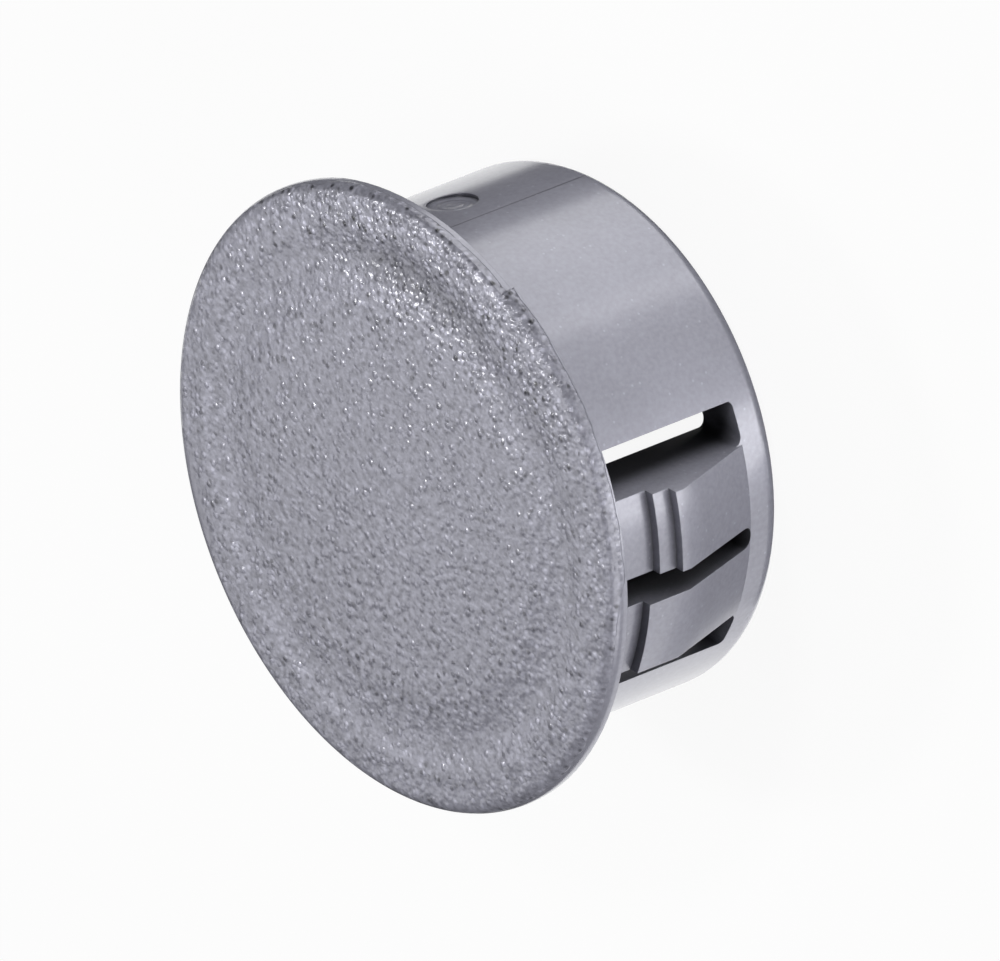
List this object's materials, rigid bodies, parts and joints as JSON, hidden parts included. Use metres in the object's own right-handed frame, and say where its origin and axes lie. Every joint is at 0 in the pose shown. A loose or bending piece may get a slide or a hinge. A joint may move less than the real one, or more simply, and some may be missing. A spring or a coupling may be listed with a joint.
{
  "type": "plastic hole plug",
  "caption": "Snap-in plug with a low-domed, grained head and stepped locking fingers in the sides of a hollow barrel. It closes a round hole in a panel.",
  "frame": {"origin": "centre of the seat, the flat underside of the head that bears on the panel", "axes": "+Z out through the head, +X through the middle of both windows"},
  "size_m": [0.0262, 0.0261, 0.0111],
  "materials": {
    "nylon": "metallic-grey moulded nylon, grained on the head's face and semi-gloss elsewhere"
  },
  "bodies": {
    "root": {"hole_plug": "nylon"}
  },
  "joints": []
}
